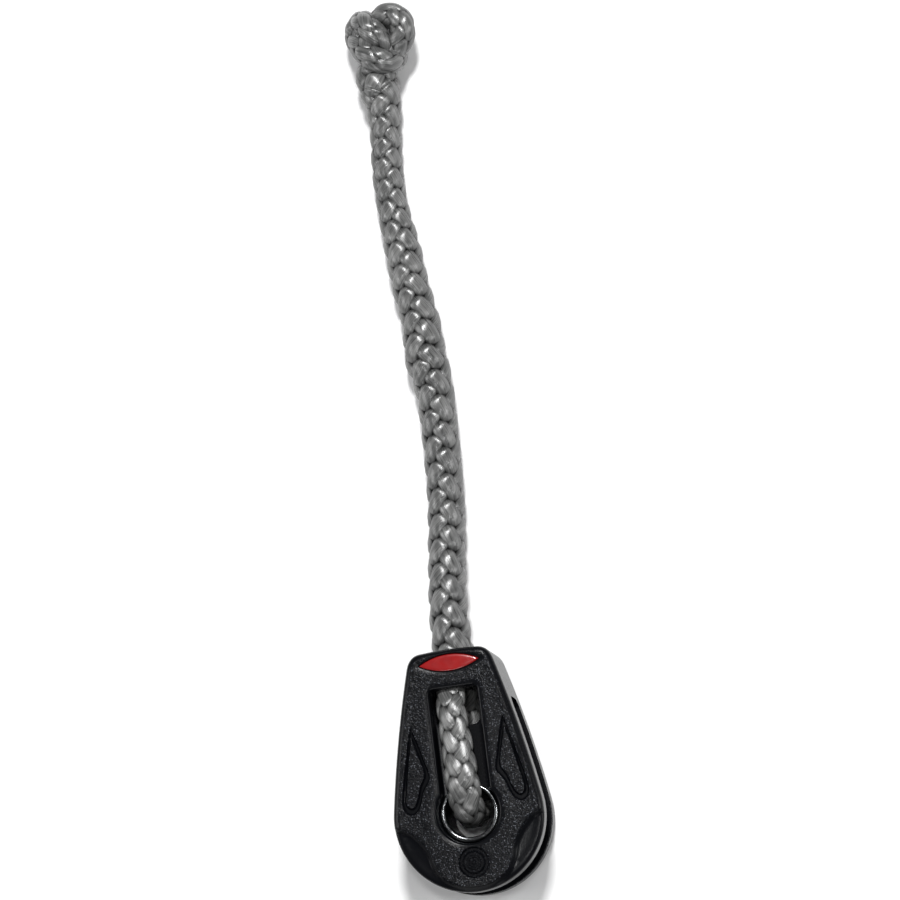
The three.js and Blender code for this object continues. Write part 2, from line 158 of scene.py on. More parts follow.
def braid(path, s0, s1, size, pick, step=0.27, ring=14, phase0=0.0, wild=1.0, seed=1, taper_end=False, core=True, turn_deg=((0.0, 0.0), (1.0, 0.0))):
    """A 12-strand braid along the path from s0 to s1. size(S) gives its half size along the frame's two sides,
    pick(S) its leaf period. Returns vertices, faces, loop uvs and the strand value of each vertex."""
    rng = np.random.RandomState(seed)
    grid = np.linspace(0, path.length, 400)
    turn = np.concatenate([[0], np.cumsum(np.diff(grid) / (0.5 * (pick(grid[1:]) + pick(grid[:-1]))))])
    n = max(4, int(round((s1 - s0) / step)))
    S = np.linspace(s0, s1, n + 1)
    psi = np.linspace(0, 2 * np.pi, ring, endpoint=False)
    verts, faces, uvs, tone, painted_shade = [], [], [], [], []
    base = 0
    jobs = [(sign, i) for sign in (1, -1) for i in range(6)] + ([(0, 0)] if core else [])
    for sign, i in jobs:
        ph = np.interp(S, grid, turn) + phase0
        wob = rng.uniform(-1, 1, 8)
        slow = sum(wob[k] * np.sin(S * (0.35 + 0.23 * k) + 6.28 * wob[(k + 3) % 8]) for k in range(4)) / 4
        if sign == 0:
            theta = np.zeros_like(S)
            r = np.zeros_like(S)
            rad = np.full_like(S, BRAID_R0 - 0.12)
            th = theta[:, None] + psi[None, :]
            R = rad[:, None] * np.ones_like(th)
            SS = S[:, None] * np.ones_like(th)
            # the core gets no light value at all: it is painted fully shaded
            light = np.zeros_like(R)
        else:
            theta = (2 * np.pi / 6) * (i + sign * ph) + 0.05 * wild * slow
            wave = np.sin(3 * theta - np.pi / 4)
            f = np.tanh(1.7 * wave) / math.tanh(1.7)
            r = BRAID_R0 + sign * BRAID_A * f + 0.035 * wild * slow
            slope = r * (2 * np.pi / 6) / pick(S)
            alpha = np.arctan(slope) * sign
            top = 0.5 + 0.5 * sign * f
            w = BRAID_W * (0.94 + 0.10 * top) * (1 + 0.04 * wild * slow)
            t = BRAID_T * (0.92 + 0.12 * top)
            cs, sn = np.cos(psi), np.sin(psi)
            x = cs[None, :] * w[:, None]
            y = (np.sign(sn) * np.abs(sn) ** 1.15)[None, :] * t[:, None]
            y = y - 0.08 * (x / w[:, None]) ** 2
            th = theta[:, None] + x * np.cos(alpha)[:, None] / r[:, None]
            SS = S[:, None] - x * np.sin(alpha)[:, None]
            R = r[:, None] + y
            # painted shade: each strand is darker towards its tucked-in end and along its two edges
            rise = 0.5 + 0.5 * sign * wave
            light = (0.16 + 0.84 * rise[:, None] ** 0.8) * (1 - 0.80 * np.abs(cs)[None, :] ** 6)
        rho = np.radians(np.interp(SS, *zip(*turn_deg)))
        X, Y = R * np.cos(th + rho), R * np.sin(th + rho)
        if taper_end:
            k = np.clip((s1 - SS) / 2.2, 0.0, 1.0)
            k = 0.45 + 0.55 * np.sqrt(np.clip(1 - (1 - k) ** 2, 0, 1))
            X, Y = X * k, Y * k
        c, u, v = path.at(SS)
        a, b = size(SS)
        P = c + u * (X * a / BRAID_R)[..., None] + v * (Y * b / BRAID_R)[..., None]
        m = ring
        verts.append(P.reshape(-1, 3))
        # painted shade value: the deeper a point of the strand lies, the darker, times the strand's own painted
        # shade above
        low, high = BRAID_R0 - 0.25, BRAID_R - 0.12
        painted_shade.append((np.clip((np.broadcast_to(R, P.shape[:2]) - low) / (high - low), 0, 1) * light).ravel())
        tone.append(np.full(P.shape[0] * m, rng.uniform(0, 1) if sign else -1.0))
        length_mm = S * (1 if sign == 0 else 1.12)
        rows, cols = np.meshgrid(np.arange(n), np.arange(m), indexing="ij")
        nxt = (cols + 1) % m
        quad = np.stack([rows * m + cols, rows * m + nxt, (rows + 1) * m + nxt, (rows + 1) * m + cols], -1).reshape(-1, 4) + base
        vv0, vv1 = cols / m, (cols + 1) / m
        off = 7.3 * (i + 1) + (50 if sign < 0 else 0)
        uv = np.stack([
            np.stack([length_mm[rows] + off, vv0 * 5.0], -1), np.stack([length_mm[rows] + off, vv1 * 5.0], -1),
            np.stack([length_mm[rows + 1] + off, vv1 * 5.0], -1), np.stack([length_mm[rows + 1] + off, vv0 * 5.0], -1)], -2).reshape(-1, 2)
        faces.extend(quad.tolist())
        uvs.append(uv)
        cap0 = [base + k for k in range(m)][::-1]
        cap1 = [base + n * m + k for k in range(m)]
        faces.append(cap0)
        faces.append(cap1)
        uvs.append(np.zeros((2 * m, 2)))
        base += (n + 1) * m
    return np.vstack(verts), faces, np.vstack(uvs), np.concatenate(tone), np.concatenate(painted_shade)


def braid_object(name, *args, **kw):
    v, f, uv, tone, painted_shade = braid(*args, **kw)
    return make_object(name, v, f, uvs=uv, attrs={"strand": tone, "painted_shade": painted_shade})


# --------------------------------------------------- the strop and its knot first
STROP = [[0.0, 19.6, 6.8], [-0.14, 22.06, 6.72], [-0.15, 24.84, 6.4], [-0.07, 28.08, 5.8], [0.1, 31.42, 5.05], [0.31, 34.77, 4.32],
         [0.62, 38.11, 3.74], [0.97, 41.45, 3.38], [1.27, 44.77, 3.24], [1.45, 48.1, 3.2], [1.58, 51.43, 3.18], [1.68, 54.76, 3.18],
         [1.73, 58.09, 3.18], [1.73, 61.42, 3.2], [1.55, 64.75, 3.3], [1.14, 67.37, 3.48], [0.9, 69.39, 3.56], [0.96, 71.61, 3.48],
         [0.82, 75.06, 3.26], [0.29, 78.5, 3.18], [-0.2, 82.05, 3.17], [-0.49, 85.49, 3.14], [-0.81, 88.94, 3.02], [-1.25, 92.49, 2.82],
         [-1.53, 96.04, 2.72], [-1.6, 99.49, 2.75], [-1.44, 102.73, 2.85], [-1.15, 105.87, 3.1], [-0.86, 109.1, 3.5], [-0.72, 112.3, 3.85]]
KNOT_C = np.array([-0.40, 115.1, 4.95])
# x to the right, y up the knot, z towards the viewer: behind the front band, up the right lobe and over the top, down the back,
# round the foot of the knot as the front band, up behind the left lobe, over it and into the middle
KNOT = [[-0.3, -0.9, -0.9], [-0.9, 1.5, -1.2], [0.7, 4.5, -0.9], [3.0, 7.0, 0.7], [3.55, 9.4, 1.2], [2.45, 11.2, 0.9], [0.45, 11.5, 0.5],
        [-0.45, 10.0, -0.5], [0.2, 7.7, -1.8], [1.3, 5.7, -2.65], [2.0, 4.9, -2.3], [1.95, 4.2, -0.3], [0.6, 3.6, 1.6], [-1.15, 4.1, 2.15],
        [-2.75, 5.5, 1.4], [-3.8, 7.3, -0.3], [-4.2, 9.2, -1.5], [-3.3, 10.4, -0.5], [-2.75, 9.9, 1.3], [-1.3, 8.3, 1.9], [0.1, 6.8, 1.0],
        [0.9, 5.5, -0.3], [1.1, 4.7, -1.1]]


def knot_line():
    """The knot's line in the row's frame, from points read across the viewing direction."""
    k = np.array(KNOT, float)
    x = k[:, 0] + 0.171 * k[:, 2]
    y = k[:, 1] - 0.161 * k[:, 2]
    return KNOT_C + np.stack([1.003 * x + 0.128 * y, -0.157 * x + 1.006 * y, k[:, 2]], -1)


line = np.vstack([[[0.0, 16.8, 6.8]], [[0.0, 18.2, 6.8]], STROP, knot_line()])
strop_path = Path(catmull(line), step=0.2, side=(1, 0, 0))
# where the free strop becomes the knot
KNOT_AT = float(strop_path.s[np.argmin(np.linalg.norm(strop_path.c - np.array([-0.62, 114.4, 4.05]), axis=1))])
STROP_R = [[0.0, 3.3], [4.0, 3.35], [9.0, 3.2], [16.0, 3.08], [34.0, 3.05], [44.0, 3.12], [48.5, 3.3], [51.0, 3.5], [54.0, 3.48], [58.5, 3.2],
           [67.0, 3.1], [71.0, 3.05], [75.0, 2.8], [79.0, 2.62], [92.0, 2.6], [91.0, 2.64], [95.0, 2.9], [98.0, 3.4], [101.0, 3.45], [103.5, 2.75], [107.0, 2.15], [200.0, 2.1]]
STROP_PICK = [[0.0, 4.35], [45.0, 4.35], [60.0, 4.1], [75.0, 3.75], [90.0, 3.5], [103.0, 3.4], [200.0, 3.4]]


def strop_size(S):
    r = table(STROP_R, S, 1)
    return r, r


def strop_pick(S):
    return table(STROP_PICK, S, 1)


TURN_DEG = ((0.0, -45.0), (62.0, -45.0), (95.0, -20.0), (200.0, -20.0))
strop = braid_object("strop_rope", strop_path, 0.0, KNOT_AT, strop_size, strop_pick, seed=4, phase0=0.35, turn_deg=TURN_DEG)
knot = braid_object("strop_stopper", strop_path, KNOT_AT - 0.02, strop_path.length, strop_size, strop_pick, seed=4, phase0=0.35,
                    taper_end=True, turn_deg=TURN_DEG)

# ------------------------------------------------------------------ the eye
EYE = [[25.8, 1.75, 0.0], [24.0, 2.1, 0.0], [22.0, 2.95, -0.25], [20.0, 4.05, -0.55], [18.2, 5.05, -0.7], [16.2, 5.75, -0.68], [13.0, 6.0, -0.5],
       [9.5, 6.3, -0.35], [6.8, 6.65, -0.25], [4.3, 6.75, -0.15], [2.3, 6.3, -0.1], [0.75, 5.2, 0.0], [-0.05, 3.5, 0.0], [-0.15, 1.5, 0.0],
       [-0.1, -1.0, 0.0], [0.2, -3.0, 0.0], [1.1, -4.6, 0.0], [2.5, -5.5, 0.0], [4.6, -5.78, 0.0], [7.5, -5.72, 0.0], [12.0, -5.55, 0.0],
       [16.0, -5.4, 0.0], [18.2, -4.9, 0.0], [20.0, -4.05, 0.0], [22.0, -2.95, 0.0], [24.0, -2.1, 0.0], [25.8, -1.75, 0.0]]
EYE_SIZE = [[0.0, 2.8, 1.35], [0.12, 2.35, 1.2], [0.2, 2.4, 1.3], [0.34, 2.75, 1.45], [0.40, 2.75, 1.55], [0.46, 2.65, 1.8], [0.5, 2.6, 2.15],
            [0.545, 2.65, 1.8], [0.58, 3.0, 0.98], [0.66, 3.15, 0.9], [0.8, 2.9, 1.05], [0.88, 2.6, 1.25], [1.0, 2.8, 1.35]]
eye_path = Path(catmull([[u, HUB_Y + v, MID_Z + w] for v, w, u in EYE]), step=0.2, side=(1, 0, 0), keep_side=True)


def eye_size(S):
    x = S / eye_path.length
    return table(EYE_SIZE, x, 1), table(EYE_SIZE, x, 2)


eye = braid_object("strop_loop", eye_path, 0.0, eye_path.length, eye_size, lambda S: np.full_like(np.asarray(S, float), 3.75),
                   seed=9, phase0=0.1, turn_deg=((0.0, 15.0), (100.0, 15.0)))


# ------------------------------------------------------------- cheek curves
def arc(c, r, a0, a1, n):
    a = np.linspace(a0, a1, n)
    return np.stack([c[0] + r * np.cos(a), c[1] + r * np.sin(a)], -1)


def quad(p0, p1, p2, n):
    t = np.linspace(0, 1, n)[:, None]
    return (1 - t) ** 2 * np.array(p0) + 2 * (1 - t) * t * np.array(p1) + t ** 2 * np.array(p2)


def resample(p, step, closed=True):
    if closed:
        p = np.vstack([p, p[:1]])
    keep = np.concatenate([[True], np.linalg.norm(np.diff(p, axis=0), axis=1) > 1e-7])
    p = p[keep]
    d = np.linalg.norm(np.diff(p, axis=0), axis=1)
    s = np.concatenate([[0], np.cumsum(d)])
    n = max(6, int(round(s[-1] / step)))
    t = np.linspace(0, s[-1], n + 1)
    q = np.stack([np.interp(t, s, p[:, 0]), np.interp(t, s, p[:, 1])], -1)
    return q[:-1] if closed else q


def outline_curve(step):
    a = math.radians(9)
    px, pv = BOTTOM_R * math.cos(a), BOTTOM_V + BOTTOM_R * math.sin(a)
    parts = [quad((px, pv), (10.07, 12.53), (7.0, 23.6), 80), quad((7.0, 23.6), (6.36, 25.8), (4.4, 25.82), 30),
             quad((4.4, 25.82), (0, 2 * HEAD_V - 25.82), (-4.4, 25.82), 30), quad((-4.4, 25.82), (-6.36, 25.8), (-7.0, 23.6), 30),
             quad((-7.0, 23.6), (-10.07, 12.53), (-px, pv), 80), arc((0, BOTTOM_V), BOTTOM_R, math.pi - a, 2 * math.pi + a, 200)]
    return resample(np.vstack(parts), step)


def keyhole_curve(step, top=BRIDGE_V, r=RECESS_R, h=SLOT_HALF, corner=0.7, fillet=1.3):
    """A slot over a round recess, with the two meeting in a small concave curve."""
    cx_, d = h + fillet, r + fillet
    cv = math.sqrt(d * d - cx_ * cx_)
    a = math.atan2(cv, cx_)
    parts = [arc((h - corner, top - corner), corner, 0, math.pi / 2, 8), arc((-h + corner, top - corner), corner, math.pi / 2, math.pi, 8),
             arc((-cx_, cv), fillet, 0, -a, 10), arc((0, 0), r, math.pi - a, 2 * math.pi + a, 120), arc((cx_, cv), fillet, math.pi + a, math.pi, 10)]
    return resample(np.vstack(parts), step)


def lens_curve(length, height, step):
    L, H = length / 2, height / 2
    R = (L * L + H * H) / (2 * H)
    a = math.asin(L / R)
    parts = [arc((0, BADGE_V + H - R), R, math.pi / 2 - a, math.pi / 2 + a, 60),
             arc((0, BADGE_V - H + R), R, 1.5 * math.pi - a, 1.5 * math.pi + a, 60)]
    return resample(np.vstack(parts), step)


LEAF_OUT = [[7.45, 14.4], [6.95, 12.9], [6.45, 11.2], [5.9, 8.9], [5.38, 7.0], [5.3, 5.95], [5.75, 5.15], [6.5, 4.1], [7.05, 2.5],
            [7.65, 1.25], [8.65, 0.62], [9.65, 0.95], [10.15, 2.2], [9.95, 4.1], [9.0, 8.3], [8.1, 12.0]]
LEAF_IN = [[7.5, 12.6], [7.1, 11.0], [6.65, 9.3], [6.15, 7.25], [6.2, 6.35], [6.95, 5.0], [7.6, 3.1], [8.05, 2.15], [8.65, 1.65],
           [9.25, 1.95], [9.48, 2.8], [9.22, 4.4], [8.45, 8.4], [7.85, 11.2]]


def leaf_curve(points, side, step):
    p = np.array(points + [points[0]], float)
    p3 = np.hstack([p, np.zeros((len(p), 1))])
    q = catmull(p3, per=12)[:-1, :2]
    if side < 0:
        q = (q * np.array([-1, 1]))[::-1]
    return resample(q, step)


TONGUE = [[12.6, -0.85], [11.2, -1.25], [9.5, -2.15], [7.75, -4.05], [6.6, -6.05], [6.05, -8.0], [5.1, -9.8], [3.3, -11.05], [1.6, -11.6], [0.0, -11.75]]


def tongue_curve():
    half = catmull([[u, v, 0] for u, v in TONGUE], per=14)[:, :2]
    return np.vstack([half, (half * np.array([-1, 1]))[::-1][1:]])


def tongue_region(step):
    return resample(np.vstack([tongue_curve(), [[-20, 2], [-20, 40], [20, 40], [20, 2]]]), step)


def sdf(P, poly):
    """Signed distance to a closed polygon, negative inside."""
    P = np.asarray(P, float)
    a, b = poly, np.roll(poly, -1, axis=0)
    best = np.full(len(P), 1e9)
    inside = np.zeros(len(P), bool)
    for k in range(0, len(P), 4000):
        q = P[k:k + 4000]
        e = b - a
        w = q[:, None, :] - a[None]
        t = np.clip((w * e[None]).sum(-1) / np.maximum((e * e).sum(-1)[None], 1e-12), 0, 1)
        d = w - t[..., None] * e[None]
        best[k:k + 4000] = np.sqrt((d * d).sum(-1).min(1))
        c1 = (a[None, :, 1] <= q[:, None, 1]) & (b[None, :, 1] > q[:, None, 1]) & ((e[None, :, 0] * w[..., 1] - e[None, :, 1] * w[..., 0]) > 0)
        c2 = (a[None, :, 1] > q[:, None, 1]) & (b[None, :, 1] <= q[:, None, 1]) & ((e[None, :, 0] * w[..., 1] - e[None, :, 1] * w[..., 0]) < 0)
        inside[k:k + 4000] = (c1.sum(1) - c2.sum(1)) != 0
    return np.where(inside, -best, best)


def smoothstep(a, b, x):
    t = np.clip((x - a) / (b - a), 0, 1)
    return t * t * (3 - 2 * t)


OUT, KEY = outline_curve(0.16), keyhole_curve(0.12)
LENS = lens_curve(BADGE_LEN + 0.24, BADGE_H + 0.2, 0.12)
LEAVES = [(leaf_curve(LEAF_OUT, s, 0.14), leaf_curve(LEAF_IN, s, 0.14)) for s in (1, -1)]
REGION = tongue_region(0.25)


def round_over(d, r):
    """How far a rounded edge of radius r drops at distance d from it."""
    e = np.clip(1 - d / r, 0, 1)
    return r * (1 - np.sqrt(1 - e * e))


def height(P):
    """The cheek's outer face, measured from the mid-plane."""
    dO, dK, dL, dT = -sdf(P, OUT), sdf(P, KEY), sdf(P, LENS), sdf(P, REGION)
    rad = np.hypot(P[:, 0], P[:, 1])
    h = np.full(len(P), HALF_T)
    # smooth collar about the hub, down to the grained face
    collar = (1 - smoothstep(7.05, 7.3, rad)) * smoothstep(-4.0, -1.0, P[:, 1])
    h -= 0.10 * (1 - collar) * smoothstep(0.9, 1.6, dO) * 0.6
    # shoulders below the tongue
    h -= 0.60 * smoothstep(-0.1, 0.8, dT) + 0.05 * np.clip(dT - 0.5, 0, 5)
    # leaves
    for outer, inner in LEAVES:
        g = np.minimum(-sdf(P, outer), sdf(P, inner))
        h -= 0.42 * smoothstep(-0.06, 0.26, g)
    # roundel: a ring, and a plain ring-and-dot mark inside it
    rr = np.hypot(P[:, 0], P[:, 1] - ROUNDEL_V)
    h -= 0.30 * (smoothstep(1.62, 1.86, rr) - smoothstep(2.2, 2.45, rr))
    h -= 0.16 * (1 - smoothstep(1.55, 1.70, rr))
    h += 0.16 * (smoothstep(0.72, 0.84, rr) - smoothstep(1.08, 1.2, rr)) + 0.16 * (1 - smoothstep(0.25, 0.38, rr))
    # rounded outer edge
    er = EDGE_R - 0.4 * smoothstep(0.2, 0.9, dT)
    h -= er * (1 - np.sqrt(1 - np.clip(1 - dO / er, 0, 1) ** 2))
    # pocket of the inlay
    h = np.where(dL < 0.16, h - round_over(np.clip(dL, 0, 1), 0.16), h)
    h = np.where(dL < 0, np.where(dL < -0.05, 6.25, HALF_T - 0.16 + (6.25 - HALF_T + 0.16) * (-dL / 0.05)), h)
    # mouth of the channel, its wall and floor
    rb = 0.5
    h = np.where(dK < rb, h - round_over(np.clip(dK, 0, rb), rb), h)
    wall = HALF_T - rb + (FLOOR + 0.22 - HALF_T + rb) * np.clip(-dK / 0.14, 0, 1)
    floor = FLOOR + round_over(np.clip(-dK - 0.14, 0, 0.24), 0.24) * 0.92
    h = np.where(dK < 0, np.where(dK < -0.14, floor, wall), h)
    return h


def offsets(curve, ds, extra=None):
    """Offset copies of a closed curve as points and edges; outward is positive."""
    e = np.roll(curve, -1, axis=0) - np.roll(curve, 1, axis=0)
    n = np.stack([e[:, 1], -e[:, 0]], -1)
    n /= np.maximum(np.linalg.norm(n, axis=1), 1e-9)[:, None]
    area = 0.5 * np.sum(curve[:, 0] * np.roll(curve[:, 1], -1) - np.roll(curve[:, 0], -1) * curve[:, 1])
    if area < 0:
        n = -n
    out = []
    for d in ds:
        p = curve + n * d
        ok = np.abs(sdf(p, curve) - d) < 0.015 + 0.02 * abs(d) if d else np.ones(len(p), bool)
        if extra is not None:
            ok &= extra(p)
        out.append((p, ok))
    return out


def cheek_object(name):
    pts, edges = [], []

    def put(groups, closed=True):
        for p, ok in groups:
            index = -np.ones(len(p), int)
            for k in np.nonzero(ok)[0]:
                index[k] = len(pts)
                pts.append(p[k])
            for k in range(len(p) if closed else len(p) - 1):
                j = (k + 1) % len(p)
                if index[k] >= 0 and index[j] >= 0:
                    edges.append((index[k], index[j]))

    inside = lambda m: (lambda p: sdf(p, OUT) < -m)
    put([(OUT, np.ones(len(OUT), bool))])
    n_rim = len(OUT)
    put(offsets(OUT, (-0.05, -0.14, -0.28, -0.48, -0.72, -EDGE_R, -1.6)))
    put(offsets(KEY, (0.5, 0.33, 0.18, 0.07, 0.0, -0.14, -0.22, -0.38)))
    put(offsets(LENS, (0.16, 0.08, 0.0, -0.05)))
    for outer, inner in LEAVES:
        put(offsets(outer, (0.06, -0.04, -0.13, -0.26)))
        put(offsets(inner, (-0.06, 0.04, 0.13, 0.26)))
    t = tongue_curve()
    t = resample(t, 0.22, closed=False)
    e = np.gradient(t, axis=0)
    nrm = np.stack([e[:, 1], -e[:, 0]], -1)
    nrm /= np.linalg.norm(nrm, axis=1)[:, None]
    for d in (-0.1, 0.08, 0.26, 0.44, 0.62, 0.8):
        p = t + nrm * d
        if sdf((t[len(t) // 2] + nrm[len(t) // 2] * 0.3)[None], REGION)[0] < 0:
            p = t - nrm * d
        ok = (np.abs(sdf(p, REGION) - d) < 0.03) & (sdf(p, OUT) < -0.02)
        put([(p, ok)], closed=False)
    for r in (0.25, 0.38, 0.72, 0.84, 1.08, 1.2, 1.55, 1.66, 1.86, 2.2, 2.45):
        c = arc((0, ROUNDEL_V), r, 0, 2 * math.pi, max(14, int(2 * math.pi * r / 0.16)) + 1)[:-1]
        put([(c, np.ones(len(c), bool))])
    pts_a = np.array(pts)
    # even fill, a little away from the curves
    g = 0.42
    fill = []
    for row, y in enumerate(np.arange(-13, 27, g * 0.866)):
        xs = np.arange(-13, 13, g) + (g / 2 if row % 2 else 0)
        fill.append(np.stack([xs, np.full_like(xs, y)], -1))
    fill = np.vstack(fill)
    fill = fill[sdf(fill, OUT) < -0.2]
    near = np.full(len(fill), 1e9)
    for k in range(0, len(fill), 1000):
        near[k:k + 1000] = np.sqrt(((fill[k:k + 1000, None, :] - pts_a[None]) ** 2).sum(-1).min(1))
    fill = fill[near > 0.2]
    coords = [Vector((float(x), float(y))) for x, y in np.vstack([pts_a, fill])]
    # one face, the outline itself, keeps what is inside it
    v2, e2, f2, _, _, _ = delaunay_2d_cdt(coords, [tuple(map(int, q)) for q in edges], [list(range(n_rim))], 1, 1e-5)
    P = np.array([[p.x, p.y] for p in v2])
    H = height(P)
    bm = bmesh.new()
    vs = [bm.verts.new((P[k, 0], P[k, 1], H[k])) for k in range(len(P))]
    for f in f2:
        try:
            bm.faces.new([vs[k] for k in f])
        except ValueError:
            pass
    loose = [v for v in bm.verts if not v.link_faces]
    bmesh.ops.delete(bm, geom=loose, context="VERTS")
    bm.normal_update()
    if sum(f.normal.z for f in bm.faces) < 0:
        bmesh.ops.reverse_faces(bm, faces=bm.faces[:])
    # side wall, in steps, and the flat inner side
    rim = [ed for ed in bm.edges if len(ed.link_faces) == 1]
    for w in (HALF_T - EDGE_R - 0.35, 3.9, SPLIT):
        new = bmesh.ops.extrude_edge_only(bm, edges=rim)["geom"]
        rim = [q for q in new if isinstance(q, bmesh.types.BMEdge) and len(q.link_faces) == 1]
        moved = {v for ed in rim for v in ed.verts}
        for v in moved:
            v.co.z = w
    bmesh.ops.edgeloop_fill(bm, edges=rim)
    bmesh.ops.recalc_face_normals(bm, faces=bm.faces[:])
    bmesh.ops.triangulate(bm, faces=[f for f in bm.faces if len(f.verts) > 4])
    me = bpy.data.meshes.new(name)
    bm.to_mesh(me)
    bm.free()
    o = bpy.data.objects.new(name, me)
    bpy.context.scene.collection.objects.link(o)
    return o


def loft(name, sections):
    """A closed solid from rings of points with the same count."""
    n = len(sections[0])
    verts = np.vstack(sections)
    faces = []
    for k in range(len(sections) - 1):
        for i in range(n):
            j = (i + 1) % n
            faces.append([k * n + i, k * n + j, (k + 1) * n + j, (k + 1) * n + i])
    faces.append(list(range(n))[::-1])
    faces.append([(len(sections) - 1) * n + i for i in range(n)])
    me = bpy.data.meshes.new(name)
    me.from_pydata(verts.tolist(), [], faces)
    bm = bmesh.new()
    bm.from_mesh(me)
    bmesh.ops.recalc_face_normals(bm, faces=bm.faces[:])
    bm.to_mesh(me)
    bm.free()
    o = bpy.data.objects.new(name, me)
    bpy.context.scene.collection.objects.link(o)
    return o


def cut(obj, cutters, operation="DIFFERENCE"):
    for c in cutters:
        m = obj.modifiers.new("cut", "BOOLEAN")
        m.operation, m.object, m.solver = operation, c, "EXACT"
    dg = bpy.context.evaluated_depsgraph_get()
    new = bpy.data.meshes.new_from_object(obj.evaluated_get(dg))
    obj.modifiers.clear()
    obj.data = new
    for c in cutters:
        bpy.data.objects.remove(c)


def cheek_cutters():
    out = []
    # cavity for the sheave and the line: a straight run along u with a rounded end
    r = 1.5

    def section(u, grow):
        p = [(-40, -3), (HEAD_IN_V + grow, -3), (HEAD_IN_V + grow, FACE_IN + grow - r)]
        for i in range(1, 11):
            t = i / 10 * math.pi / 2
            p.append((HEAD_IN_V + grow - r + r * math.cos(t), FACE_IN + grow - r + r * math.sin(t)))
        p.append((-40, FACE_IN + grow))
        return np.array([[u, v, w] for v, w in p])
    out.append(loft("c1", [section(u, 0) for u in (-30, 30)]))

    # passage through the head: a soft rectangle that narrows towards the exit, with a flared mouth
    def soft(v, a, b, w0=0.0, n=40, k=3.2):
        t = np.linspace(0, 2 * math.pi, n, endpoint=False)
        x = np.sign(np.cos(t)) * np.abs(np.cos(t)) ** (2 / k) * a
        z = np.sign(np.sin(t)) * np.abs(np.sin(t)) ** (2 / k) * b + w0
        return np.stack([x, np.full_like(x, v), z], -1)
    out.append(loft("c2", [soft(15.6, 3.6, 4.1), soft(18.0, 3.6, 5.4), soft(20.0, 3.6, 5.45), soft(22.6, 3.6, 4.45), soft(24.9, 3.6, 3.85),
                           soft(25.55, 3.72, 3.95), soft(26.05, 4.15, 4.4), soft(27.5, 5.2, 5.4)]))
    # dive hole from the channel to the passage
    prof = np.vstack([arc((PASSAGE_HALF - 1.3, FLOOR_END_V + 1.5), 1.3, -math.pi / 2, 0, 8), arc((SLOT_HALF - 0.7, BRIDGE_V - 0.7), 0.62, 0, math.pi / 2, 6),
                      arc((-SLOT_HALF + 0.7, BRIDGE_V - 0.7), 0.62, math.pi / 2, math.pi, 6), arc((-PASSAGE_HALF + 1.3, FLOOR_END_V + 1.5), 1.3, math.pi, 1.5 * math.pi, 8)])
    ring_at = lambda w, s: np.array([[u * s, v - (0.35 if s > 1 else 0) * (v < 18), w] for u, v in prof])
    out.append(loft("c3", [ring_at(-1, 1.0), ring_at(4.05, 1.0), ring_at(4.3, 1.03), ring_at(4.6, 1.03)]))
    # hub hole
    hole = lambda w: np.array([[4.45 * math.cos(a), 4.45 * math.sin(a), w] for a in np.linspace(0, 2 * math.pi, 72, endpoint=False)])
    out.append(loft("c4", [hole(1.0), hole(5.0)]))
    return out


def ring_solid(profile, n, phase=0.0):
    """Vertices and faces of a ring of revolution about w; the profile is a closed loop of (r, w)."""
    a = np.linspace(0, 2 * math.pi, n, endpoint=False) + phase
    p = np.asarray(profile, float)
    m = len(p)
    verts = np.stack([p[None, :, 0] * np.cos(a)[:, None], p[None, :, 0] * np.sin(a)[:, None],
                      np.broadcast_to(p[None, :, 1], (n, m))], -1).reshape(-1, 3)
    faces = []
    for i in range(n):
        j = (i + 1) % n
        for k in range(m):
            l = (k + 1) % m
            faces.append([i * m + k, j * m + k, j * m + l, i * m + l])
    return verts, faces


def finish_mesh(o, matrix, sharp=38):
    """Into the row's frame in metres, with smooth shading broken at real edges."""
    me = o.data
    me.transform(matrix)
    if matrix.to_3x3().determinant() < 0:
        me.flip_normals()
    me.polygons.foreach_set("use_smooth", [True] * len(me.polygons))
    me.set_sharp_from_angle(angle=math.radians(sharp))
    me.update()


TO_ROW = Matrix.Translation((0, HUB_Y * MM, MID_Z * MM)) @ Matrix.Scale(MM, 4)
TURN = Matrix.Translation((0, HUB_Y * MM, MID_Z * MM)) @ Matrix.Rotation(math.pi, 4, "Y") @ Matrix.Scale(MM, 4)


def add_solid(o, verts, faces):
    """Joins one more closed shell to a mesh that is still in mm."""
    bm = bmesh.new()
    bm.from_mesh(o.data)
    vs = [bm.verts.new(v) for v in verts]
    new = [bm.faces.new([vs[k] for k in f]) for f in faces]
    bmesh.ops.recalc_face_normals(bm, faces=new)
    bm.to_mesh(o.data)
    bm.free()


cheek = cheek_object("cheek_front_shell")
cut(cheek, cheek_cutters())
# boss that keeps the balls in, and the lip that shrouds the sheave's rim
boss = [(4.45, 3.6), (4.45, 2.62), (4.52, 2.55), (6.0, 2.55), (6.1, 2.65), (6.1, 3.2), (6.3, 3.45), (6.3, 3.6)]
add_solid(cheek, *ring_solid(boss, 96))
lip_a = np.linspace(math.radians(180 - 14), math.radians(360 + 14), 140)
lip_v, lip_f = [], []
for a in lip_a:
    c, s = math.cos(a), math.sin(a)
    outer = BOTTOM_R - 0.06
    ov = np.array([0, BOTTOM_V])
    for r, w in ((10.4, 3.6), (10.4, 2.98), (10.5, 2.9), (None, 2.9), (None, 3.6)):
        if r is None:
            d = np.array([c, s])
            b = np.dot(d, ov)
            r = b + math.sqrt(b * b - ov @ ov + outer * outer)
        lip_v.append((r * c, r * s, w))
for i in range(len(lip_a) - 1):
    for k in range(5):
        l = (k + 1) % 5
        lip_f.append([i * 5 + k, (i + 1) * 5 + k, (i + 1) * 5 + l, i * 5 + l])
lip_f.append([0, 1, 2, 3, 4])
lip_f.append([(len(lip_a) - 1) * 5 + k for k in range(5)])
add_solid(cheek, lip_v, lip_f)

